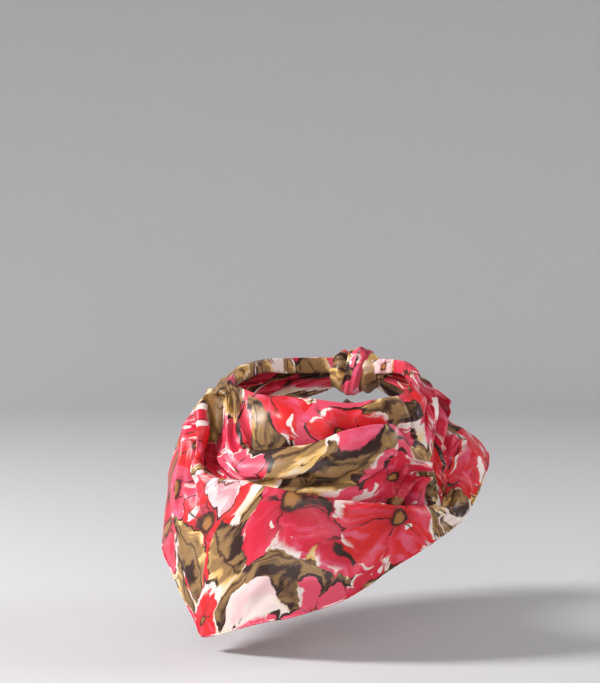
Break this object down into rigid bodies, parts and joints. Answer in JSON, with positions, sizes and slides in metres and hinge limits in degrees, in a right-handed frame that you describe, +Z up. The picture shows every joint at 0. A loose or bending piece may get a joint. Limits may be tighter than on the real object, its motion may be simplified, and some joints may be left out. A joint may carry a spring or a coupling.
{
  "type": "silk square scarf",
  "caption": "Printed silk square folded on its diagonal, draped round the neck as a cowl with a pointed bib, and knotted at the nape. Hollow, as worn.",
  "frame": {"origin": "the middle of the neck that wears the scarf, at the height where the neck meets the shoulders", "axes": "+Z up along the neck, the wearer faces -Y, +X is the wearer's left"},
  "size_m": [0.2706, 0.2467, 0.2194],
  "materials": {
    "printed_silk": "satin sheen, painterly floral print"
  },
  "bodies": {
    "root": {"neck_roll": "printed_silk", "cowl_fold": "printed_silk", "bib": "printed_silk", "bib_under_layer": "printed_silk", "right_shoulder_drape": "printed_silk", "left_shoulder_drape": "printed_silk", "right_nape_band": "printed_silk", "left_nape_band": "printed_silk", "knot": "printed_silk", "left_tail": "printed_silk", "right_tail": "printed_silk"}
  },
  "joints": []
}
